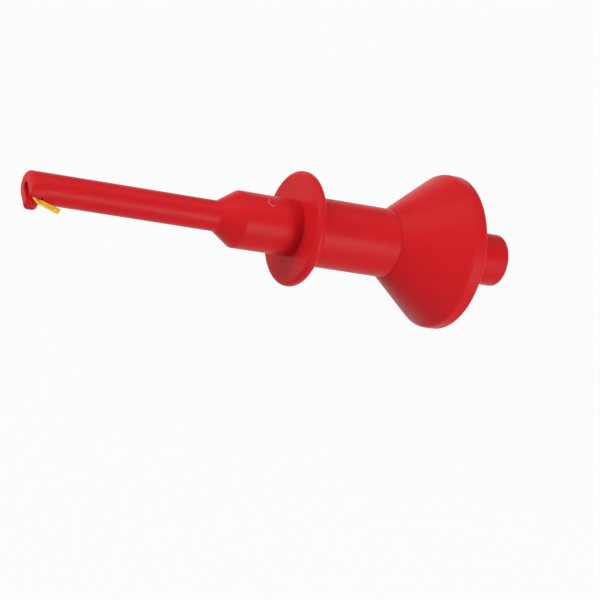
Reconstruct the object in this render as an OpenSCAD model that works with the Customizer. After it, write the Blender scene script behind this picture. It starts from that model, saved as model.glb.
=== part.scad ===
// Grabber test hook: a sprung wire hook in a slim nose, pushed out by a thumb plunger with a lead socket.
// The axis lies along X with the hook towards -X. The origin is the centre of the socket's mouth.
// Modules are drawn along Z, from the nose's end, and laid along X by along_axis().

/* [Nose] */
// Length of the slim nose tube
nose_len = 37.35; // [28:0.05:60]
// Outside diameter of the nose tube
nose_d = 5.7; // [5:0.1:7]
// Radius on the edge of the nose's end face
nose_edge = 0.7; // [0.1:0.05:0.8]
// Length of the cone between nose tube and front barrel
shoulder_len = 4; // [2:0.1:8]
// Length of the front barrel, from the shoulder to the finger flange
front_barrel_len = 11.75; // [9:0.05:20]
// Diameter of the front barrel at the shoulder
front_barrel_d = 10.7; // [9.8:0.1:12]
// Diameter that the front barrel loses to its moulding draft
front_barrel_draft = 0.1; // [0:0.05:0.8]
// Radius that blends the nose tube into the shoulder
shoulder_round = 1.5; // [0.2:0.1:3]
// Radius that blends the shoulder into the front barrel
barrel_round = 1; // [0.2:0.1:2]
// Wall of the spigot that the nose moulding pushes into the grip body
spigot_wall = 0.95; // [0.7:0.05:1.3]
// Length of that spigot
spigot_len = 9.3; // [7:0.1:11]
// Wall left in front of the core at the shoulder
core_wall = 2.6; // [1:0.1:4]

/* [Hook tip] */
// Length of the lip at the nose's end, along its lower edge
lip_len = 2.4; // [1.8:0.05:3]
// Width of the lip across its flat sides
lip_w = 5.4; // [3:0.1:5.6]
// How far the lip stands out below the nose tube at its back edge
lip_drop = 0.4; // [0.2:0.05:1]
// How much less it stands out at its front edge
lip_rake = 0.3; // [0:0.05:0.5]
// How far the lip's rear face leans back between its lower edge and the axis
lip_lean = 1; // [0:0.05:1.5]
// Radius on the lip's corners
lip_round = 0.5; // [0.2:0.05:0.6]
// Play of the wire in the slot, each side
slot_play = 0.3; // [0.15:0.05:0.5]
// Play of the wire in the nose's bore, each side
wire_play = 0.15; // [0.05:0.01:0.3]
// Diameter of the hook's wire
wire_d = 1; // [0.6:0.05:1.1]
// Radius inside the wire's bend
bend_inside_r = 1.25; // [0.8:0.05:1.5]
// How far the bend's outside lies behind the nose's end
bend_inset = 0.9; // [0.4:0.05:1.2]
// Angle between the hook's leg and the axis
leg_angle = 24.5; // [18:0.5:35]
// How far the leg's cut end stands out beyond the nose tube
leg_out = 2.45; // [1.5:0.05:3]

/* [Finger grip] */
// Diameter of the finger flange
flange_d = 21.6; // [18:0.1:28]
// Thickness of the finger flange
flange_t = 1.95; // [1.2:0.05:3]
// Radius on the flange's edges
flange_edge = 0.85; // [0.2:0.05:1]
// Wall of the rear barrel that the plunger slides on
barrel_wall = 1.55; // [1:0.05:2.5]
// Length of rear barrel that shows between flange and plunger at rest
grip_len = 18.4; // [14:0.05:30]

/* [Plunger] */
// Travel of the plunger
stroke = 7.5; // [4:0.1:8]
// Length of the conical knob
cone_len = 11; // [10:0.1:16]
// Diameter of the knob's rim
knob_d = 29.5; // [26:0.1:34]
// Thickness of the knob's front edge around the barrel
mouth_lip = 0.15; // [0.1:0.05:0.8]
// Length of the bore that guides the knob on the barrel
guide_len = 4; // [2:0.1:4.5]
// Wall of the hollow knob, measured square to the axis
knob_wall = 2.1; // [1.2:0.1:3]
// Length of the knob's rim
rim_len = 2.8; // [2:0.1:5]
// Radius on the rim's rear edge
rim_edge = 0.6; // [0.2:0.05:0.9]
// Thickness of the rear cap's plate
plate_t = 1.4; // [1:0.05:1.9]
// How far the plate lies inside the knob's rear edge
plate_inset = 0.15; // [0:0.05:0.3]
// Width of the ledge in the knob that the plate seats on
seat_ledge = 0.8; // [0.5:0.1:0.9]
// Wall of the rear stub around the socket sleeve
stub_wall = 2.1; // [1.4:0.1:3]
// Length of the rear stub
stub_len = 11.4; // [6:0.1:16]
// Radius on the stub's end
stub_edge = 0.7; // [0.3:0.05:1.2]

/* [Contact] */
// Diameter of the rod between hook and socket
rod_d = 3; // [2.5:0.1:3.4]
// How far the rod reaches in front of the finger flange
rod_reach = 12.9; // [11:0.1:15]
// Play of the rod in the nose's bore, each side
rod_play = 0.2; // [0.1:0.01:0.3]
// Depth of the flat that keeps the rod from turning
flat_depth = 0.4; // [0.2:0.05:0.6]
// Depth of the hole in the rod for the hook's wire
wire_seat = 5; // [3:0.1:8]
// Bore of the lead socket
socket_d = 4; // [3:0.1:4.2]
// Depth of the lead socket
socket_depth = 18; // [14:0.1:19]
// Wall of the socket sleeve
sleeve_wall = 0.9; // [0.6:0.05:1.2]
// Length of rod held in the socket sleeve
rod_seat = 3; // [2:0.1:4]
// Floor between that hole and the socket
sleeve_floor = 1; // [0.6:0.1:1.5]
// Play of the sleeve's collar, which carries the spring, in the spring chamber, each side
collar_play = 0.5; // [0.2:0.05:0.7]
// Thickness of that collar
collar_t = 1; // [0.6:0.1:1.5]

/* [Spring and guide] */
// Diameter of the spring's wire
spring_wire_d = 0.7; // [0.5:0.05:0.8]
// Play of the spring around the socket sleeve, each side
spring_play = 0.6; // [0.3:0.05:1]
// Play of the spring in its chamber, each side
chamber_play = 0.75; // [0.5:0.05:1.2]
// Turns of the spring, its two closed end turns included
spring_turns = 9.5; // [7:0.5:12]
// Diameter of the guide bush in the spigot
bush_d = 6.6; // [6:0.1:6.8]
// Length of the guide bush inside the spigot
bush_len = 4; // [3:0.1:5]
// How far the bush's flange stays inside the edge of the spigot
bush_flange_step = 0.1; // [0:0.05:0.4]
// Thickness of the bush's flange
bush_flange_t = 0.8; // [0.5:0.1:1.2]
// Play of the washer under the spring in the spring chamber, each side
washer_play = 0.25; // [0.1:0.05:0.5]
// Thickness of that washer
washer_t = 0.5; // [0.3:0.05:1]
// Play of the retaining clip in the nose's core, each side
clip_play = 0.7; // [0.3:0.05:0.9]
// Thickness of the retaining clip
clip_t = 0.5; // [0.3:0.05:0.8]
// Depth of the clip's groove in the rod
groove_depth = 0.35; // [0.2:0.05:0.5]

/* [Fits] */
// Running clearance of sliding round fits, each side
run_gap = 0.06; // [0.03:0.01:0.1]
// Gap of pressed and bonded round fits, each side
press_gap = 0.01; // [0.005:0.005:0.03]
// Gap between faces that stop the plunger at the ends of its travel
stop_gap = 0.1; // [0.05:0.05:0.3]

/* [Hidden] */
$fn = 96;
// Turn of the line where a turned surface closes on itself, away from the side that the part lies on
seam_turn = 30;

plastic = [0.80, 0.11, 0.12];
gold = [0.90, 0.67, 0.20];
brass = [0.80, 0.62, 0.30];
steel = [0.70, 0.71, 0.73];
nylon = [0.92, 0.91, 0.86];

// Places along the axis, counted from the nose's end
shoulder_at = nose_len;
barrel_at = shoulder_at + shoulder_len;
flange_at = barrel_at + front_barrel_len;
grip_at = flange_at + flange_t;
spigot_end = flange_at + spigot_len;
knob_at = grip_at + grip_len;
rim_at = knob_at + cone_len;
back_at = rim_at + rim_len;
total_len = back_at + stub_len;
plate_at = back_at - plate_t;
barrel_end = plate_at - stroke - stop_gap;
core_at = barrel_at + core_wall;
rod_at = flange_at - rod_reach;
rod_bore_at = rod_at - stroke - 2 * stop_gap;
socket_floor = total_len - socket_depth;
rod_end = socket_floor - sleeve_floor;
sleeve_at = rod_end - rod_seat;
bush_at = spigot_end - bush_len;
washer_at = spigot_end + bush_flange_t;
spring_at = washer_at + washer_t;
collar_at = plate_at - collar_t;
clip_at = bush_at - stop_gap - clip_t;
flat_end = washer_at + stroke + 2 * stop_gap;

// Radii, worked outwards from the wire, the rod and the socket
nose_r = nose_d / 2;
wire_r = wire_d / 2;
rod_r = rod_d / 2;
groove_r = rod_r - groove_depth;
bush_r = bush_d / 2;
clip_r = bush_r - clip_play;
spigot_r = bush_r + spigot_wall;
sleeve_r = socket_d / 2 + sleeve_wall;
stub_r = sleeve_r + stub_wall;
spring_r = sleeve_r + spring_play + spring_wire_d / 2;
chamber_r = spring_r + spring_wire_d / 2 + chamber_play;
barrel_r = chamber_r + barrel_wall;
flange_r = flange_d / 2;
knob_r = knob_d / 2;
knob_bore_r = barrel_r + run_gap;
mouth_r = knob_bore_r + mouth_lip;
seat_r = knob_r - knob_wall + seat_ledge;
wire_bore_r = wire_r + wire_play;
slot_r = wire_r + slot_play;
rod_bore_r = rod_r + rod_play;
small_edge = 0.3;
over = 1;

// The hook in its own plane, as places along the axis and heights above it
bend_r = wire_r + bend_inside_r;
bend_at = bend_inset + wire_r + bend_r;
bend_turn = 180 - leg_angle;
leg_start = [bend_at - bend_r * sin(leg_angle), -bend_r * (1 + cos(leg_angle))];
leg_end_y = wire_r * cos(leg_angle) - nose_r - leg_out;
leg_len = (leg_start[1] - leg_end_y) / sin(leg_angle);
wire_end = rod_at + wire_seat;

// The leg starts this far inside the bend and is this much slimmer, so that the two join cleanly
weld = 0.04;
weld_step = 0.004;

// Where the leg's inner side starts, and where it has left the nose tube
inside_start = [bend_at - bend_inside_r * sin(leg_angle), bend_r + bend_inside_r * cos(leg_angle)];
leg_clear = inside_start[0] + max(0, nose_r - inside_start[1]) / tan(leg_angle);

// The slot that takes the bend, and the lip that it parts
slot_end = leg_clear + wire_play;
slot_low = -2 * nose_d;
lip_low = -nose_r - lip_drop;
lip_back = lip_len + lip_lean;

// The spring's end turns lie close, and the turns between them share the rest
close_pitch = spring_wire_d * 1.04;
spring_gap = 0.02;
spring_len = collar_at - spring_at - 2 * spring_gap;
open_turns = spring_turns - 2;
open_pitch = (spring_len - spring_wire_d - 2 * close_pitch) / open_turns;
spring_steps = 24;
spring_sides = 8;

// Radius of the knob's outer cone at a place along the axis
function cone_r(at) = mouth_r + (knob_r - mouth_r) * (at - knob_at) / cone_len;

// Height of the spring's centre line after a number of turns
function coil_rise(turns) =
    min(turns, 1) * close_pitch
    + max(0, min(turns - 1, open_turns)) * open_pitch
    + max(0, turns - 1 - open_turns) * close_pitch;

// Arc that rounds corner b, between its neighbours a and c
function corner_arc(a, b, c, r, steps) =
    r == 0 ? [b] :
    let (
        u = (a - b) / norm(a - b),
        v = (c - b) / norm(c - b),
        half = acos(u * v) / 2,
        centre = b + (u + v) / norm(u + v) * r / sin(half),
        from = b + u * r / tan(half) - centre,
        to = b + v * r / tan(half) - centre,
        turn = atan2(from[0] * to[1] - from[1] * to[0], from * to)
    )
    [for (i = [0:steps]) let (t = turn * i / steps)
        centre + [from[0] * cos(t) - from[1] * sin(t), from[0] * sin(t) + from[1] * cos(t)]];

// Outline whose corners [x, y, r] are rounded to r
function rounded(corners, steps = 6) =
    let (n = len(corners), flat = [for (p = corners) [p[0], p[1]]])
    [for (i = [0:n - 1])
        each corner_arc(flat[(i + n - 1) % n], flat[i], flat[(i + 1) % n], corners[i][2], steps)];

// Lays what is drawn along Z on the X axis, with the stub's end at the origin
module along_axis() {
    translate([-total_len, 0, 0]) rotate([0, 90, 0]) children();
}

// Turned shape from an outline of [radius, place, corner radius]
module turned(corners) {
    rotate([0, 0, seam_turn]) rotate_extrude() polygon(rounded(corners));
}

// Round hole from one place to another
module bore(r, from, to) {
    translate([0, 0, from]) cylinder(r = r, h = to - from);
}

// Extrudes an outline of [place, height] across the hook's plane
module across(width) {
    rotate([0, -90, 0]) linear_extrude(width, center = true) children();
}

// Extrudes an outline of [side, place] in the direction that the hook faces
module facing(depth) {
    rotate([90, 0, 0]) linear_extrude(depth, center = true) children();
}

// Flat-sided lip below the nose's end, cut from its end view, its side view and its plan
module lip() {
    half = lip_w / 2;
    intersection() {
        linear_extrude(lip_back)
            polygon(rounded([
                [half, 0, 0],
                [half, lip_low, lip_round],
                [-half, lip_low, lip_round],
                [-half, 0, 0],
            ]));
        across(2 * nose_d)
            polygon(rounded([
                [0, over, 0],
                [0, lip_low + lip_rake, nose_edge],
                [lip_len, lip_low, lip_round],
                [lip_back, 0, 0],
                [lip_back, over, 0],
            ]));
        facing(4 * nose_d)
            polygon(rounded([
                [half, 0, nose_edge],
                [half, lip_back, 0],
                [-half, lip_back, 0],
                [-half, 0, nose_edge],
            ]));
    }
}

// Slot for the hook, round at its closed end and open on the lip's side
module hook_slot() {
    bore(slot_r, -over, bend_at + wire_play);
    translate([-slot_r, slot_low, -over]) cube([2 * slot_r, -slot_low, slot_end + over]);
}

module nose_tube() {
    barrel_rear_r = (front_barrel_d - front_barrel_draft) / 2;
    color(plastic) along_axis() difference() {
        union() {
            turned([
                [0, 0, 0],
                [nose_r, 0, nose_edge],
                [nose_r, shoulder_at, shoulder_round],
                [front_barrel_d / 2, barrel_at, barrel_round],
                [barrel_rear_r, flange_at, 0],
                [spigot_r, flange_at, 0],
                [spigot_r, spigot_end, small_edge],
                [0, spigot_end, 0],
            ]);
            lip();
        }
        hook_slot();
        bore(wire_bore_r, lip_len, rod_bore_at + over);
        bore(rod_bore_r, rod_bore_at, core_at + over);
        bore(bush_r + press_gap, core_at, spigot_end + over);
    }
}

// Finger flange and rear barrel in one moulding
module grip_body() {
    edge = min(flange_edge, 0.45 * flange_t);
    color(plastic) along_axis() difference() {
        turned([
            [0, flange_at, 0],
            [flange_r, flange_at, edge],
            [flange_r, grip_at, edge],
            [barrel_r, grip_at, small_edge],
            [barrel_r, barrel_end, small_edge],
            [0, barrel_end, 0],
        ]);
        bore(spigot_r + press_gap, flange_at - over, spigot_end + over);
        bore(chamber_r, spigot_end, barrel_end + over);
    }
}

// Outline of the rod with its flat, larger all round by a gap
module rod_outline(gap) {
    intersection() {
        circle(rod_r + gap);
        translate([-rod_d, -rod_d]) square([2 * rod_d, rod_d + rod_r - flat_depth + gap]);
    }
}

module guide_bush() {
    color(nylon) along_axis() difference() {
        union() {
            bore(bush_r, bush_at, spigot_end);
            bore(spigot_r - bush_flange_step, spigot_end, washer_at);
        }
        translate([0, 0, bush_at - over])
            linear_extrude(washer_at - bush_at + 2 * over) rod_outline(run_gap);
    }
}

module spring_washer() {
    color(steel) along_axis() difference() {
        bore(chamber_r - washer_play, washer_at, spring_at);
        bore(rod_bore_r, washer_at - over, spring_at + over);
    }
}

module return_spring() {
    rings = round(spring_turns * spring_steps);
    points = [for (i = [0:rings], k = [0:spring_sides - 1])
        let (
            turns = spring_turns * i / rings,
            a = 360 * k / spring_sides,
            r = spring_r + spring_wire_d * cos(a) / 2,
            rise = spring_wire_d * (1 + sin(a)) / 2
        )
        [r * cos(360 * turns), r * sin(360 * turns), coil_rise(turns) + rise]];
    sides = [for (i = [0:rings - 1], k = [0:spring_sides - 1])
        let (a = i * spring_sides, b = a + spring_sides, next = (k + 1) % spring_sides)
        [a + k, a + next, b + next, b + k]];
    first = [for (k = [spring_sides - 1:-1:0]) k];
    last = [for (k = [0:spring_sides - 1]) rings * spring_sides + k];
    color(steel) along_axis() translate([0, 0, spring_at + spring_gap])
        polyhedron(points, concat(sides, [first, last]), convexity = 10);
}

module hook_wire() {
    color(gold) along_axis() {
        bore(wire_r, bend_at, wire_end);
        translate([0, -bend_r, bend_at]) rotate([0, -90, 0]) rotate([0, 0, 90])
            rotate_extrude(angle = bend_turn) translate([bend_r, 0]) circle(wire_r);
        translate([0, leg_start[1], leg_start[0]]) rotate([leg_angle, 0, 0])
            bore(wire_r - weld_step, -weld, leg_len);
    }
}

module contact_rod() {
    color(brass) along_axis() difference() {
        union() {
            translate([0, 0, rod_at]) linear_extrude(flat_end - rod_at) rod_outline(0);
            bore(rod_r, flat_end, rod_end);
        }
        bore(wire_r + press_gap, rod_at - over, wire_end);
        difference() {
            bore(rod_d, clip_at - press_gap, clip_at + clip_t + press_gap);
            bore(groove_r, clip_at - over, clip_at + clip_t + over);
        }
    }
}

// Clip with three inner prongs, open on one side so that it pushes into the rod's groove
module retaining_clip() {
    ring_r = (clip_r + rod_r) / 2;
    prong_w = clip_r / 3;
    opening_w = 1.6 * groove_r;
    color(steel) along_axis() translate([0, 0, clip_at]) linear_extrude(clip_t)
        difference() {
            union() {
                difference() {
                    circle(clip_r);
                    circle(ring_r);
                }
                for (a = [-30, 90, 210])
                    rotate(a) translate([0, -prong_w / 2]) square([ring_r + prong_w / 4, prong_w]);
            }
            circle(groove_r + press_gap);
            translate([-opening_w / 2, -2 * clip_r]) square([opening_w, 2 * clip_r]);
        }
}

module socket_sleeve() {
    collar_r = chamber_r - collar_play;
    color(brass) along_axis() difference() {
        turned([
            [0, sleeve_at, 0],
            [sleeve_r, sleeve_at, small_edge],
            [sleeve_r, collar_at, 0],
            [collar_r, collar_at, 0],
            [collar_r, plate_at, 0],
            [sleeve_r, plate_at, 0],
            [sleeve_r, total_len, 0],
            [0, total_len, 0],
        ]);
        bore(socket_d / 2, socket_floor, total_len + over);
        bore(rod_r + press_gap, sleeve_at - over, rod_end);
    }
}

// Hollow conical knob with the thumb rim, which slides on the rear barrel
module plunger_knob() {
    hollow_at = knob_at + guide_len;
    hollow_r = knob_r - knob_wall;
    color(plastic) along_axis() difference() {
        turned([
            [0, knob_at, 0],
            [mouth_r, knob_at, mouth_lip / 2],
            [knob_r, rim_at, small_edge],
            [knob_r, back_at, rim_edge],
            [0, back_at, 0],
        ]);
        bore(knob_bore_r, knob_at - over, rim_at);
        turned([
            [0, hollow_at, 0],
            [cone_r(hollow_at) - knob_wall, hollow_at, 0],
            [hollow_r, rim_at, 0],
            [hollow_r, plate_at + over / 2, 0],
            [0, plate_at + over / 2, 0],
        ]);
        bore(seat_r, plate_at, back_at + over);
    }
}

// Rear cap: the plate that closes the knob, and the stub around the socket
module rear_cap() {
    plate_r = seat_r - press_gap;
    face_at = back_at - plate_inset;
    color(plastic) along_axis() difference() {
        turned([
            [0, plate_at, 0],
            [plate_r, plate_at, small_edge / 2],
            [plate_r, face_at, small_edge / 2],
            [stub_r, face_at, small_edge],
            [stub_r, total_len, stub_edge],
            [0, total_len, 0],
        ]);
        bore(sleeve_r + press_gap, plate_at - over, total_len + over);
    }
}

nose_tube();
grip_body();
guide_bush();
spring_washer();
return_spring();
hook_wire();
contact_rod();
retaining_clip();
socket_sleeve();
plunger_knob();
rear_cap();
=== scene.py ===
from math import cos, sin, tan, pi, radians

import bmesh
import bpy
from mathutils import Matrix, Vector


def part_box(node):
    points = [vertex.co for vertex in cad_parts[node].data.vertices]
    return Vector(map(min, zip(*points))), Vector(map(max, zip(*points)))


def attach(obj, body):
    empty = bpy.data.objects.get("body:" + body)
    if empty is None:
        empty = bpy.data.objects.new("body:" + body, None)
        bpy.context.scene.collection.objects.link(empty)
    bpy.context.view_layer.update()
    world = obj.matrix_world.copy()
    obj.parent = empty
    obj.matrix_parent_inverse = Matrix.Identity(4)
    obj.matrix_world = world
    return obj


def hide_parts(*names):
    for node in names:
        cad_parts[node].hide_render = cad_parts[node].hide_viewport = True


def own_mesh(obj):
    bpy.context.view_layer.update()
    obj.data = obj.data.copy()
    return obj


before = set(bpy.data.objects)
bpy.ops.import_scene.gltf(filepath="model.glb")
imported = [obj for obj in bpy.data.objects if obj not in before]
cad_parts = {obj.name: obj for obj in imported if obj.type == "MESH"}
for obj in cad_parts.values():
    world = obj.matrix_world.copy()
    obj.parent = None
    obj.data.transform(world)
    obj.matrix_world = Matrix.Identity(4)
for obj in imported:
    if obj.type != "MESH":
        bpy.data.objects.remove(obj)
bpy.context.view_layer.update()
mm = 0.001
axisX = Vector((1, 0, 0))
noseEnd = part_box("nose_tube")[0].x / mm  # every place below is counted from here, in mm
print("frame loaded, nose end at", round(noseEnd, 3), "mm")


# where a CAD piece starts and ends along the axis, in mm from the nose end
def span(node):
    low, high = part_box(node)
    return round(low.x / mm - noseEnd, 3), round(high.x / mm - noseEnd, 3)


# shader sockets that can be added and multiplied like numbers
class Socket:
    def __init__(self, finish, out):
        self.finish, self.out = finish, out

    def maths(self, operation, first, second):
        return self.finish.node("ShaderNodeMath", {"operation": operation}, {0: first, 1: second})

    def __add__(self, other):
        return self.maths("ADD", self, other)

    def __radd__(self, other):
        return self.maths("ADD", other, self)

    def __mul__(self, other):
        return self.maths("MULTIPLY", self, other)

    def __rmul__(self, other):
        return self.maths("MULTIPLY", other, self)


# a material, or the world's node tree, and the nodes that it is made of
class Finish:
    def __init__(self, name, tree=None):
        if tree is None:
            self.material = bpy.data.materials.new(name)
            self.material.use_nodes = True
            tree = self.material.node_tree
        self.tree = tree
        tree.nodes.clear()

    def node(self, kind, settings=None, sockets=None, out=0):
        made = self.tree.nodes.new(kind)
        for key, value in (settings or {}).items():
            setattr(made, key, value)
        for key, value in (sockets or {}).items():
            if isinstance(value, Socket):
                self.tree.links.new(value.out, made.inputs[key])
            else:
                made.inputs[key].default_value = value
        return Socket(self, made.outputs[out]) if made.outputs else made

    def objectPlace(self, stretch=(1, 1, 1)):
        place = self.node("ShaderNodeTexCoord", out="Object")
        return self.node("ShaderNodeMapping", {}, {"Vector": place, "Scale": stretch})

    def noise(self, place, scale, detail=2.0, rough=0.5):
        return self.node("ShaderNodeTexNoise", {},
                         {"Vector": place, "Scale": scale, "Detail": detail, "Roughness": rough})

    def range(self, value, band, to=(0.0, 1.0)):
        return self.node("ShaderNodeMapRange", {"clamp": True},
                         {"Value": value, "From Min": band[0], "From Max": band[1],
                          "To Min": to[0], "To Max": to[1]})

    def mixColour(self, share, first, second):
        return self.node("ShaderNodeMix", {"data_type": "RGBA"}, {0: share, 6: first, 7: second}, out=2)

    def bump(self, height, strength, distance):
        return self.node("ShaderNodeBump", {},
                         {"Height": height, "Strength": strength, "Distance": distance})

    def done(self, **sockets):
        named = {key.replace("_", " "): value for key, value in sockets.items()}
        shader = self.node("ShaderNodeBsdfPrincipled", {}, named)
        self.node("ShaderNodeOutputMaterial", {}, {"Surface": shader})
        return self.material


# red moulding: satin gloss, faint flow clouds, fine mould texture
redMoulding = {
    "red": (0.600, 0.0125, 0.0175, 1), "deepRed": (0.565, 0.0112, 0.0160, 1),
    "gloss": 0.36, "glossSpread": 0.10, "specular": 0.077,
    "cloud": 240.0, "speck": 5200.0, "ripple": 700.0,
}

# the gate mark's red is painted paler than the moulding, a painted highlight for the light its bead
# catches, and it is smoother
paintedHighlightGate = {
    "red": (0.700, 0.055, 0.058, 1), "deepRed": (0.660, 0.030, 0.034, 1),
    "gloss": 0.30, "glossSpread": 0.08, "specular": 0.30,
    "cloud": 900.0, "speck": 5200.0, "ripple": 2400.0,
}

# what both share: flow clouds that run along the mouldings, and a grain in metres
mouldTexture = {
    "flow": (0.35, 1, 1), "cloudBand": (0.35, 0.7), "cloudShare": 0.7,
    "speckRough": 0.6, "speckBand": (0.4, 0.7), "speckShare": 0.3,
    "glossBand": (0.3, 0.7), "rippleShare": 0.8, "grain": (0.10, 0.00006),
}


def makeRedMoulding(name, look, texture):
    f = Finish(name)
    along = f.objectPlace(texture["flow"])
    place = f.objectPlace()
    cloud = f.noise(along, look["cloud"], detail=3)
    speck = f.noise(place, look["speck"], rough=texture["speckRough"])
    ripple = f.noise(along, look["ripple"], detail=1)
    share = (f.range(cloud, texture["cloudBand"]) * texture["cloudShare"]
             + f.range(speck, texture["speckBand"], (0.0, texture["speckShare"])))
    colour = f.mixColour(share, look["red"], look["deepRed"])
    glossHalf = look["glossSpread"] / 2
    gloss = f.range(cloud * 0.5 + speck * 0.5, texture["glossBand"],
                    (look["gloss"] - glossHalf, look["gloss"] + glossHalf))
    grain = f.bump(speck + ripple * texture["rippleShare"], *texture["grain"])
    return f.done(Base_Color=colour, Roughness=gloss, Normal=grain, Specular_IOR_Level=look["specular"])


# gold plate on drawn wire: fine lines along the wire, colour that deepens in patches
goldPlate = {
    "gold": (1.00, 0.62, 0.060, 1), "deepGold": (0.92, 0.50, 0.035, 1),
    "gloss": 0.40, "glossSpread": 0.14, "drawn": (0.03, 1, 1), "lines": 9000.0, "lineBand": (0.3, 0.7),
    "patch": 1600.0, "patchBand": (0.35, 0.7), "grain": (0.12, 0.00002),
}


def makeGoldPlate(look):
    f = Finish("goldPlate")
    lines = f.noise(f.objectPlace(look["drawn"]), look["lines"])
    patch = f.noise(f.objectPlace(), look["patch"])
    colour = f.mixColour(f.range(patch, look["patchBand"]), look["gold"], look["deepGold"])
    gloss = look["gloss"] + look["glossSpread"] * f.range(lines, look["lineBand"])
    return f.done(Base_Color=colour, Metallic=1.0, Roughness=gloss, Normal=f.bump(lines, *look["grain"]))


# turned brass: rings around the axis and a dull film
turnedBrass = {
    "brass": (0.70, 0.47, 0.17, 1), "dullBrass": (0.46, 0.30, 0.11, 1),
    "gloss": 0.24, "glossSpread": 0.2, "turned": (1, 0.02, 0.02), "rings": 7000.0, "ringBand": (0.3, 0.7),
    "film": 420.0, "filmBand": (0.4, 0.7), "filmShare": 0.8, "grain": (0.2, 0.00002),
}


def makeTurnedBrass(look):
    f = Finish("turnedBrass")
    rings = f.noise(f.objectPlace(look["turned"]), look["rings"])
    film = f.noise(f.objectPlace(), look["film"], detail=3)
    colour = f.mixColour(f.range(film, look["filmBand"], (0.0, look["filmShare"])),
                         look["brass"], look["dullBrass"])
    gloss = look["gloss"] + look["glossSpread"] * f.range(rings, look["ringBand"])
    return f.done(Base_Color=colour, Metallic=1.0, Roughness=gloss, Normal=f.bump(rings, *look["grain"]))


# spring steel: grey metal with a brown temper tint in places
springSteel = {
    "steel": (0.52, 0.53, 0.55, 1), "temper": (0.33, 0.29, 0.26, 1),
    "gloss": 0.28, "glossSpread": 0.15, "scratch": 8000.0, "scratchBand": (0.35, 0.65),
    "tint": 900.0, "tintBand": (0.5, 0.75), "tintShare": 0.7, "grain": (0.1, 0.00002),
}


def makeSpringSteel(look):
    f = Finish("springSteel")
    place = f.objectPlace()
    tint = f.noise(place, look["tint"], detail=3)
    scratch = f.noise(place, look["scratch"])
    colour = f.mixColour(f.range(tint, look["tintBand"], (0.0, look["tintShare"])),
                         look["steel"], look["temper"])
    gloss = look["gloss"] + look["glossSpread"] * f.range(scratch, look["scratchBand"])
    return f.done(Base_Color=colour, Metallic=1.0, Roughness=gloss, Normal=f.bump(scratch, *look["grain"]))


# natural nylon: milky off-white, slightly mottled
naturalNylon = {
    "milk": (0.80, 0.78, 0.70, 1), "cream": (0.72, 0.68, 0.57, 1),
    "gloss": 0.42, "glossSpread": 0.12, "speck": 5000.0,
    "mottle": 600.0, "mottleBand": (0.35, 0.7), "grain": (0.1, 0.00004),
}


def makeNaturalNylon(look):
    f = Finish("naturalNylon")
    place = f.objectPlace()
    mottle = f.noise(place, look["mottle"], detail=3)
    speck = f.noise(place, look["speck"])
    colour = f.mixColour(f.range(mottle, look["mottleBand"]), look["milk"], look["cream"])
    gloss = look["gloss"] + look["glossSpread"] * speck
    return f.done(Base_Color=colour, Roughness=gloss, Normal=f.bump(speck, *look["grain"]))


red = makeRedMoulding("redMoulding", redMoulding, mouldTexture)
# the gate mark's paler red is a painted highlight
gateHighlightRed = makeRedMoulding("paintedHighlightGate", paintedHighlightGate, mouldTexture)
gold = makeGoldPlate(goldPlate)
brass = makeTurnedBrass(turnedBrass)
steel = makeSpringSteel(springSteel)
nylon = makeNaturalNylon(naturalNylon)
print("finishes made")


# helpers that turn a section and make it a piece riding a body
cornerSteps = 7  # segments of a rounded corner
crispEdge = 0.05  # rounding of corners that meet another piece, in mm
innerEdge = 0.1  # rounding of plain corners, mostly inside, in mm
weldGap = 1e-5  # points closer than this are one, in mm
normalWeight = 60  # how far large faces lead the shading


def edgesOf(geom):
    return [e for e in geom if isinstance(e, bmesh.types.BMEdge)]


def vertsOf(geom):
    return [v for v in geom if isinstance(v, bmesh.types.BMVert)]


def turnedShell(bm, corners, steps, closed=True):
    # corners are (place from the nose end, radius, rounding), in mm, going round the section
    verts = [bm.verts.new((noseEnd + at, 0, r)) for at, r, rounding in corners]
    for pair in list(zip(verts, verts[1:])) + ([(verts[-1], verts[0])] if closed else []):
        bm.edges.new(pair)
    count = len(verts)
    for i, (at, r, rounding) in enumerate(corners):
        if not rounding:
            continue
        here, before, after = (Vector(corners[k % count][:2]) for k in (i, i - 1, i + 1))
        half = (before - here).angle(after - here) / 2
        bmesh.ops.bevel(bm, geom=[verts[i]], offset=rounding / tan(half), offset_type="OFFSET",
                        affect="VERTICES", segments=cornerSteps, profile=0.5, material=-1)
    section = bm.verts[:] + bm.edges[:]
    bmesh.ops.spin(bm, geom=section, cent=(0, 0, 0), axis=axisX, angle=2 * pi, steps=steps, use_merge=True)
    bmesh.ops.remove_doubles(bm, verts=bm.verts, dist=weldGap)


def handIn(name, bm, body, slot, finish, *nodes, sharp=32, weighted=True):
    bmesh.ops.scale(bm, vec=(mm, mm, mm), verts=bm.verts)
    bmesh.ops.recalc_face_normals(bm, faces=bm.faces)
    mesh = bpy.data.meshes.new(name)
    bm.to_mesh(mesh)
    bm.free()
    mesh.polygons.foreach_set("use_smooth", [True] * len(mesh.polygons))
    mesh.set_sharp_from_angle(angle=radians(sharp))
    mesh.materials.append(finish)
    piece = bpy.data.objects.new(name, mesh)
    bpy.context.scene.collection.objects.link(piece)
    if weighted:
        even = piece.modifiers.new("evenShading", "WEIGHTED_NORMAL")
        even.keep_sharp = True
        even.weight = normalWeight
    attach(piece, body)
    if nodes:
        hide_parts(*nodes)
    print("made", name, len(mesh.polygons), "faces")
    return piece


# finger flange and rear barrel
gripMould = {
    "flangeThick": 1.95, "flangeRadius": 10.8, "flangeEdge": 0.88, "rootFillet": 0.35,
    "barrelRadius": 6.5, "barrelEdge": 0.4, "spigotBore": 4.26, "chamberRadius": 4.95,
    "chamberEdge": 0.15, "steps": 160,
}


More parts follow.
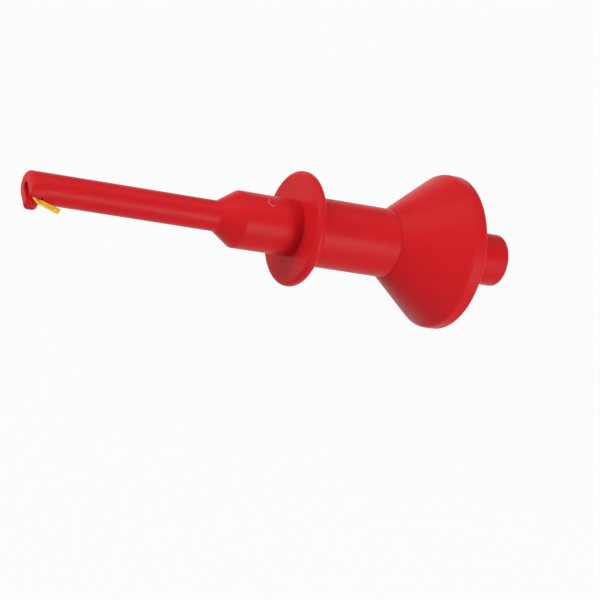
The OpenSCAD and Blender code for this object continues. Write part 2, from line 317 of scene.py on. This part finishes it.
def makeGrip(g):
    bm = bmesh.new()
    flangeAt, barrelEnd = span("grip_body")
    flangeBack = flangeAt + g["flangeThick"]
    chamberAt = span("nose_tube")[1]  # the spigot ends where the spring chamber starts
    turnedShell(bm, [
        (flangeAt, g["spigotBore"], crispEdge),
        (flangeAt, g["flangeRadius"], g["flangeEdge"]),
        (flangeBack, g["flangeRadius"], g["flangeEdge"]),
        (flangeBack, g["barrelRadius"], g["rootFillet"]),
        (barrelEnd, g["barrelRadius"], g["barrelEdge"]),
        (barrelEnd, g["chamberRadius"], g["chamberEdge"]),
        (chamberAt, g["chamberRadius"], innerEdge),
        (chamberAt, g["spigotBore"], crispEdge),
    ], g["steps"])
    return handIn("gripShell", bm, "grip", "red_plastic", red, "grip_body")


# hollow conical knob with its thumb rim
knobMould = {
    "mouthRadius": 6.56, "mouthEdge": 0.015, "boreRadius": 6.52, "guideLength": 4.0,
    "rimLength": 2.8, "rimRadius": 14.75, "creaseEdge": 1.3, "backEdge": 0.7,
    "seatRadius": 13.45, "seatEdge": 0.12, "hollowFront": 7.534, "hollowFrontEdge": 0.2,
    "hollowRear": 12.65, "hollowRearEdge": 0.3, "steps": 192,
}


def makeKnob(k):
    bm = bmesh.new()
    mouthAt, backAt = span("plunger_knob")
    plateAt = span("rear_cap")[0]
    rimAt = backAt - k["rimLength"]
    hollowAt = mouthAt + k["guideLength"]
    turnedShell(bm, [
        (mouthAt, k["boreRadius"], crispEdge),
        (mouthAt, k["mouthRadius"], k["mouthEdge"]),
        (rimAt, k["rimRadius"], k["creaseEdge"]),
        (backAt, k["rimRadius"], k["backEdge"]),
        (backAt, k["seatRadius"], k["seatEdge"]),
        (plateAt, k["seatRadius"], innerEdge),
        (plateAt, k["hollowRear"], innerEdge),
        (rimAt, k["hollowRear"], k["hollowRearEdge"]),
        (hollowAt, k["hollowFront"], k["hollowFrontEdge"]),
        (hollowAt, k["boreRadius"], innerEdge),
    ], k["steps"])
    return handIn("knobShell", bm, "plunger", "red_plastic", red, "plunger_knob")


# rear cap: the plate that closes the knob, and the stub
capMould = {
    "plateRadius": 13.44, "plateEdge": 0.15, "plateInset": 0.15, "stubRadius": 5.0,
    "stubFillet": 0.4, "stubEdge": 0.75, "stubBore": 2.91, "steps": 192,
}


def makeCap(c):
    bm = bmesh.new()
    plateAt, stubEnd = span("rear_cap")
    faceAt = span("plunger_knob")[1] - c["plateInset"]
    turnedShell(bm, [
        (plateAt, c["stubBore"], crispEdge),
        (plateAt, c["plateRadius"], c["plateEdge"]),
        (faceAt, c["plateRadius"], c["plateEdge"]),
        (faceAt, c["stubRadius"], c["stubFillet"]),
        (stubEnd, c["stubRadius"], c["stubEdge"]),
        (stubEnd, c["stubBore"], crispEdge),
    ], c["steps"])
    return handIn("capShell", bm, "plunger", "red_plastic", red, "rear_cap")


# brass sleeve of the lead socket
sleeveTurning = {
    "radius": 2.9, "startEdge": 0.25, "collarThick": 1.0, "collarRadius": 4.45, "collarRoot": 0.08,
    "endEdge": 0.12, "bore": 2.0, "countersink": 0.22, "socketDepth": 18.0, "drillPoint": 0.5,
    "floorThick": 1.0, "rodBore": 1.51, "steps": 96,
}


def makeSleeve(s):
    bm = bmesh.new()
    start, end = span("socket_sleeve")
    plateAt = span("rear_cap")[0]
    collarAt = plateAt - s["collarThick"]
    floorAt = end - s["socketDepth"]
    rodEnd = floorAt - s["floorThick"]
    turnedShell(bm, [
        (start, s["rodBore"], innerEdge),
        (start, s["radius"], s["startEdge"]),
        (collarAt, s["radius"], s["collarRoot"]),
        (collarAt, s["collarRadius"], innerEdge),
        (plateAt, s["collarRadius"], innerEdge),
        (plateAt, s["radius"], crispEdge),
        (end, s["radius"], s["endEdge"]),
        (end, s["bore"], s["countersink"]),
        (floorAt, s["bore"], innerEdge),
        (floorAt - s["drillPoint"], 0.0, 0),
        (rodEnd, 0.0, 0),
        (rodEnd, s["rodBore"], crispEdge),
    ], s["steps"])
    return handIn("socketSleeve", bm, "plunger", "brass", brass, "socket_sleeve")


# wire hook: straight shank, round bend, slanting leg with a cut end
hookWire = {
    "wireRadius": 0.5, "bendRadius": 1.75, "bendAt": 3.15, "legAngle": 24.5, "legEndY": -4.845,
    "cutEdge": 0.12, "cutSteps": 3, "sides": 32, "bendSteps": 36,
}


def makeHook(h):
    bm = bmesh.new()
    start = Vector((noseEnd + h["bendAt"], 0, 0))
    bmesh.ops.create_circle(bm, cap_ends=False, radius=h["wireRadius"], segments=h["sides"],
                            matrix=Matrix.Translation(start) @ Matrix.Rotation(pi / 2, 4, "Y"))
    ring = bm.edges[:]
    shank = bmesh.ops.extrude_edge_only(bm, edges=ring)["geom"]
    shankLength = span("hook_wire")[1] - h["bendAt"]
    bmesh.ops.translate(bm, verts=vertsOf(shank), vec=axisX * shankLength)
    bmesh.ops.contextual_create(bm, geom=edgesOf(shank))

    angle = radians(h["legAngle"])
    bendCentre = start - Vector((0, h["bendRadius"], 0))
    bent = bmesh.ops.spin(bm, geom=ring, cent=bendCentre, axis=(0, 0, 1), angle=pi - angle,
                          steps=h["bendSteps"], use_merge=False)["geom_last"]
    leg = bmesh.ops.extrude_edge_only(bm, edges=edgesOf(bent))["geom"]
    legLoop = edgesOf(leg)
    drop = -h["bendRadius"] * (1 + cos(angle)) - h["legEndY"]
    legLength = drop / sin(angle)
    along = Vector((cos(angle), -sin(angle), 0))
    bmesh.ops.translate(bm, verts=vertsOf(leg), vec=along * legLength)
    bmesh.ops.contextual_create(bm, geom=legLoop)
    bmesh.ops.bevel(bm, geom=legLoop, offset=h["cutEdge"], offset_type="OFFSET", affect="EDGES",
                    segments=h["cutSteps"], profile=0.5, material=-1)
    return handIn("hookWire", bm, "plunger", "gold_plate", gold, "hook_wire", sharp=50)


# nose moulding: the slotted tip is rounded as moulded, the rest is turned
noseMould = {
    "tubeRadius": 2.85, "shoulderAt": 37.35, "barrelAt": 41.35, "barrelFront": 5.35, "barrelRear": 5.3,
    "shoulderRound": 1.5, "barrelRound": 1.0, "spigotRadius": 4.25, "spigotEdge": 0.25,
    "bushBore": 3.31, "coreAt": 43.95, "rodBore": 1.7, "rodBoreAt": 32.5, "wireBore": 0.65, "steps": 128,
    "tipCut": 6.2, "seamAt": 5.1, "seamGap": 0.25, "seamBlend": 1.5,  # where tip and turned tube join
    "tipWeld": 1e-4, "voxel": 0.05, "smoothing": 0.5, "softening": 24,
    "insideRadius": 1.6, "axisRadius": 0.1,  # points inside these belong to the bore, or to its middle
    "lipFrom": 1.5, "lipMid": 1.4, "lipStretch": 1.08, "lipShear": 0.3, "lipClear": 1.5, "lipFade": 1.2,
    "heelFrom": 1.4, "heelLength": 1.2, "heelLift": 0.4,
    "nearRadius": 2.93, "nearDrop": 0.38, "nearGive": 0.06,
}


def acrossAxis(vert):
    return Vector((0, vert.co.y, vert.co.z))


def applied(mesh, *modifiers):
    # a mesh after a row of modifiers, each given as a kind and its settings
    scratch = bpy.data.objects.new("scratch", mesh)
    bpy.context.scene.collection.objects.link(scratch)
    for kind, settings in modifiers:
        modifier = scratch.modifiers.new(kind, kind)
        for key, value in settings.items():
            setattr(modifier, key, value)
    graph = bpy.context.evaluated_depsgraph_get()
    result = bpy.data.meshes.new_from_object(scratch.evaluated_get(graph))
    bpy.data.objects.remove(scratch)
    return result


def cutBehind(bm, at):
    everything = bm.verts[:] + bm.edges[:] + bm.faces[:]
    return bmesh.ops.bisect_plane(bm, geom=everything, plane_co=(noseEnd + at, 0, 0), plane_no=axisX,
                                  clear_outer=True)["geom_cut"]


def softTip(n):
    # the front of the CAD nose, closed behind, rounded as moulded and cut off at the seam
    tip = bmesh.new()
    tip.from_mesh(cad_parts["nose_tube"].data)
    bmesh.ops.scale(tip, vec=(1 / mm,) * 3, verts=tip.verts)
    bmesh.ops.remove_doubles(tip, verts=tip.verts, dist=n["tipWeld"])
    bmesh.ops.bridge_loops(tip, edges=edgesOf(cutBehind(tip, n["tipCut"])))
    rough = bpy.data.meshes.new("noseTipRough")
    tip.to_mesh(rough)
    tip.free()
    soft = applied(rough, ("REMESH", {"mode": "VOXEL", "voxel_size": n["voxel"]}),
                   ("SMOOTH", {"factor": n["smoothing"], "iterations": n["softening"]}))
    bm = bmesh.new()
    bm.from_mesh(soft)
    cutBehind(bm, n["seamAt"])
    return bm


def shapeLip(bm, n):
    # the lip keeps its depth, its outer corners reach further back and its heel is lifted
    lipEnd = noseEnd + n["seamAt"] - n["lipClear"]
    for v in bm.verts:
        below = -v.co.y - n["lipFrom"]
        if below > 0 and v.co.x < lipEnd:
            rearFade = min(1, (lipEnd - v.co.x) / n["lipFade"])
            fade = rearFade * min(1, (v.co.x - noseEnd) / n["lipFade"])
            v.co.y -= below * (n["lipStretch"] - 1) * rearFade
            v.co.x += n["lipShear"] * (abs(v.co.z) - n["lipMid"]) * fade * min(1, below)
            proud = max(0, acrossAxis(v).length - n["tubeRadius"])
            heel = max(0, min(n["heelLength"], v.co.x - noseEnd - n["heelFrom"]))
            v.co.y += n["heelLift"] * heel ** 2 * min(1, proud)


def roundNearProng(bm, n):
    # the prong towards +Z is rounder and runs into the tube
    for v in bm.verts:
        out = acrossAxis(v)
        if v.co.z > 0 and out.length > n["nearRadius"]:
            limit = n["nearRadius"] + n["nearDrop"] * (max(0, -v.co.y) / out.length) ** 2
            if out.length > limit:
                v.co += out * ((limit + (out.length - limit) * n["nearGive"]) / out.length - 1)


def blendToTube(bm, n):
    # back to the exact tube and bore towards the seam, so that no step shows
    seam = noseEnd + n["seamAt"]
    for v in bm.verts:
        out = acrossAxis(v)
        near = min(1, max(0, 1 - (seam - v.co.x) / n["seamBlend"]))
        exact = n["tubeRadius"] if out.length > n["insideRadius"] else n["wireBore"]
        if near and out.length > n["axisRadius"]:
            v.co += out.normalized() * (exact - out.length) * near


def turnedNose(n):
    # tube, shoulder, front barrel and spigot, open towards the tip
    shell = bmesh.new()
    start = n["seamAt"] + n["seamGap"]
    flangeAt = span("grip_body")[0]
    spigotEnd = span("nose_tube")[1]
    turnedShell(shell, [
        (start, n["tubeRadius"], 0),
        (n["shoulderAt"], n["tubeRadius"], n["shoulderRound"]),
        (n["barrelAt"], n["barrelFront"], n["barrelRound"]),
        (flangeAt, n["barrelRear"], innerEdge),
        (flangeAt, n["spigotRadius"], crispEdge),
        (spigotEnd, n["spigotRadius"], n["spigotEdge"]),
        (spigotEnd, n["bushBore"], innerEdge),
        (n["coreAt"], n["bushBore"], innerEdge),
        (n["coreAt"], n["rodBore"], innerEdge),
        (n["rodBoreAt"], n["rodBore"], innerEdge),
        (n["rodBoreAt"], n["wireBore"], crispEdge),
        (start, n["wireBore"], 0),
    ], n["steps"], closed=False)
    mesh = bpy.data.meshes.new("noseTurned")
    shell.to_mesh(mesh)
    shell.free()
    return mesh


def makeNose(n):
    bm = softTip(n)
    shapeLip(bm, n)
    roundNearProng(bm, n)
    blendToTube(bm, n)
    tipLoops = [e for e in bm.edges if e.is_boundary]
    tipEdges = set(bm.edges)
    bm.from_mesh(turnedNose(n))
    loops = tipLoops + [e for e in bm.edges if e not in tipEdges and e.is_boundary]
    bore = [e for e in loops if acrossAxis(e.verts[0]).length < n["insideRadius"]]
    outside = [e for e in loops if acrossAxis(e.verts[0]).length > n["insideRadius"]]
    bmesh.ops.bridge_loops(bm, edges=bore)
    bmesh.ops.bridge_loops(bm, edges=outside)
    return handIn("noseShell", bm, "grip", "red_plastic", red, "nose_tube", weighted=False)


# return spring: a closed turn at each end, open turns between them
coilSpring = {
    "wireRadius": 0.35, "coilRadius": 3.85, "turns": 9.5, "closePitch": 0.728,
    "sides": 12, "stepsPerTurn": 48,
}


def makeSpring(c):
    bm = bmesh.new()
    start, end = span("return_spring")
    length = end - start
    openTurns = c["turns"] - 2
    openPitch = (length - 2 * c["wireRadius"] - 2 * c["closePitch"]) / openTurns
    place = Vector((noseEnd + start + c["wireRadius"], c["coilRadius"], 0))
    bmesh.ops.create_circle(bm, cap_ends=False, radius=c["wireRadius"], segments=c["sides"],
                            matrix=Matrix.Translation(place))
    loop = bm.edges[:]
    bmesh.ops.contextual_create(bm, geom=loop)
    for turns, pitch in ((1, c["closePitch"]), (openTurns, openPitch), (1, c["closePitch"])):
        steps = round(turns * c["stepsPerTurn"])
        last = bmesh.ops.spin(bm, geom=loop, cent=(0, 0, 0), axis=axisX, angle=turns * 2 * pi, steps=steps,
                              dvec=axisX * turns * pitch / steps, use_merge=False)["geom_last"]
        loop = edgesOf(last)
    bmesh.ops.contextual_create(bm, geom=loop)
    spring = handIn("returnSpring", bm, "grip", "spring_steel", steel, "return_spring",
                    sharp=60, weighted=False)
    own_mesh(spring)
    return spring


# gate mark: a raised half ring on top of the front barrel
gateMark = {
    "at": 46.75, "around": 98.0, "barrelRadius": 5.33, "ringRadius": 0.75, "bead": 0.21, "sink": 0.06,
    "from": 100.0, "sweep": 200.0, "steps": 40, "sides": 16, "endEdge": 0.1, "endSteps": 4,
}


def makeGateMark(g):
    bm = bmesh.new()
    onRing = Matrix.Translation((g["ringRadius"], 0, 0)) @ Matrix.Rotation(pi / 2, 4, "X")
    bmesh.ops.create_circle(bm, cap_ends=True, radius=g["bead"], segments=g["sides"], matrix=onRing)
    bmesh.ops.spin(bm, geom=bm.faces[:], cent=(0, 0, 0), axis=(0, 0, 1), angle=radians(g["sweep"]),
                   steps=g["steps"], use_merge=False)
    caps = [f for f in bm.faces if len(f.verts) > 4]  # the two round ends
    bmesh.ops.recalc_face_normals(bm, faces=bm.faces)
    bmesh.ops.bevel(bm, geom=[e for f in caps for e in f.edges], offset=g["endEdge"], offset_type="OFFSET",
                    affect="EDGES", segments=g["endSteps"], profile=0.5, material=-1)
    bmesh.ops.rotate(bm, verts=bm.verts, cent=(0, 0, 0), matrix=Matrix.Rotation(radians(g["from"]), 3, "Z"))
    for v in bm.verts:  # bent around the barrel
        turn = v.co.y / g["barrelRadius"] + radians(g["around"])
        out = g["barrelRadius"] - g["sink"] + v.co.z
        v.co = (noseEnd + g["at"] + v.co.x, -out * cos(turn), out * sin(turn))
    # its paler red is a painted highlight
    return handIn("gateMark", bm, "grip", "red_plastic", gateHighlightRed, sharp=60)


makeGrip(gripMould)
makeKnob(knobMould)
makeCap(capMould)
makeSleeve(sleeveTurning)
makeHook(hookWire)
makeNose(noseMould)
makeGateMark(gateMark)
makeSpring(coilSpring)

# the CAD pieces that stay get their finish
for node, finish in (("guide_bush", nylon), ("spring_washer", steel), ("contact_rod", brass),
                     ("retaining_clip", steel)):
    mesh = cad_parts[node].data
    mesh.materials.clear()
    mesh.materials.append(finish)
print("inner pieces finished")


# camera of the photograph: axis direction and place as seen by the lens, in mm
photoCamera = {
    "lens": 150.0, "sensor": 36.0, "axis": (0.87055, 0.12605, 0.47566), "down": (-0.1433, 0.98968, 0.0),
    "near": (0.47075, 0.06816, -0.87963), "hookTurn": 39.0, "origin": (37.893, -7.591, 484.420),
    "clip": (0.01, 20.0),
}


def makeCamera(c):
    beta = radians(c["hookTurn"])
    down, near = Vector(c["down"]), Vector(c["near"])
    lensX = Vector(c["axis"])
    lensY = -(cos(beta) * down + sin(beta) * near)
    lensZ = cos(beta) * near - sin(beta) * down
    seen = Matrix((lensX, lensY, lensZ)).transposed()
    right, up, back = seen[0], -seen[1], -seen[2]
    turnBack = Matrix((right, up, back)).transposed().to_4x4()
    place = -(seen.transposed() @ Vector(c["origin"])) * mm
    data = bpy.data.cameras.new("photoCamera")
    data.lens, data.sensor_width, data.sensor_fit = c["lens"], c["sensor"], "HORIZONTAL"
    data.clip_start, data.clip_end = c["clip"]
    camera = bpy.data.objects.new("photoCamera", data)
    camera.matrix_world = Matrix.Translation(place) @ turnBack
    bpy.context.scene.collection.objects.link(camera)
    bpy.context.scene.camera = camera
    print("camera at", [round(v, 4) for v in place])


# studio: white paper floor, a long key softbox on the hook's side, a large softbox in front of the nose,
# and weak ones at the nose end, overhead and low beside the stub
studio = {
    "floorZ": -14.75, "floorSize": 8.0, "paper": 0.50, "paperGlow": 0.955, "worldLight": 0.35,
    "middle": (-50.0, 0.0, 0.0),
    "softboxes": (
        # name, direction from the object, distance, width, height, lean, power
        ("keySoftbox", (0.390, -0.812, 0.433), 0.55, 0.15, 0.30, -25.0, 1.65),
        ("frontSoftbox", (-0.750, 0.450, 0.480), 0.90, 0.80, 0.80, 0.0, 5.7),
        ("endSoftbox", (-0.985, -0.120, 0.120), 0.60, 0.20, 0.20, 0.0, 0.55),
        ("overheadSoftbox", (0.150, 0.450, 0.880), 0.90, 0.60, 0.60, 0.0, 1.6),
        ("lowSoftbox", (0.620, -0.785, 0.010), 0.60, 0.26, 0.26, 0.0, 0.45),
    ),
}


def makeFloor(s):
    bm = bmesh.new()
    bmesh.ops.create_grid(bm, x_segments=1, y_segments=1, size=s["floorSize"] / 2)
    bmesh.ops.translate(bm, verts=bm.verts, vec=(0, 0, s["floorZ"] * mm))
    mesh = bpy.data.meshes.new("paperFloor")
    bm.to_mesh(mesh)
    bm.free()
    floor = bpy.data.objects.new("paperFloor", mesh)
    bpy.context.scene.collection.objects.link(floor)
    f = Finish("whitePaper")
    seen = [f.node("ShaderNodeLightPath", out=ray) for ray in
            ("Is Camera Ray", "Is Glossy Ray", "Is Transmission Ray")]
    paper = f.node("ShaderNodeBsdfDiffuse", {}, {"Color": (s["paper"],) * 3 + (1,)})
    glow = f.node("ShaderNodeEmission", {}, {"Color": (1, 1, 1, 1), "Strength": 1.0})
    surface = f.node("ShaderNodeMixShader", {}, {0: (seen[0] + seen[1] + seen[2]) * s["paperGlow"],
                                                 1: paper, 2: glow})
    f.node("ShaderNodeOutputMaterial", {}, {"Surface": surface})
    mesh.materials.append(f.material)


def makeWorld(s):
    world = bpy.data.worlds.new("studioWorld")
    world.use_nodes = True
    bpy.context.scene.world = world
    w = Finish("studioWorld", world.node_tree)
    sky = w.node("ShaderNodeBackground", {}, {"Color": (1, 1, 1, 1), "Strength": s["worldLight"]})
    w.node("ShaderNodeOutputWorld", {}, {"Surface": sky})


def makeSoftboxes(s):
    middle = Vector(s["middle"]) * mm
    for name, direction, distance, width, height, lean, power in s["softboxes"]:
        data = bpy.data.lights.new(name, "AREA")
        data.shape, data.size, data.size_y, data.energy = "RECTANGLE", width, height, power
        lamp = bpy.data.objects.new(name, data)
        toLamp = Vector(direction).normalized()
        side = (axisX - toLamp * axisX.dot(toLamp)).normalized()  # its width lies along the object
        upright = Matrix((side, toLamp.cross(side), toLamp)).transposed().to_4x4()
        lamp.matrix_world = (Matrix.Translation(middle + toLamp * distance) @ upright
                             @ Matrix.Rotation(radians(lean), 4, "Z"))
        bpy.context.scene.collection.objects.link(lamp)
    print("studio lit with", len(s["softboxes"]), "softboxes")


makeCamera(photoCamera)
makeFloor(studio)
makeWorld(studio)
makeSoftboxes(studio)
bpy.context.scene.view_settings.view_transform = "Standard"
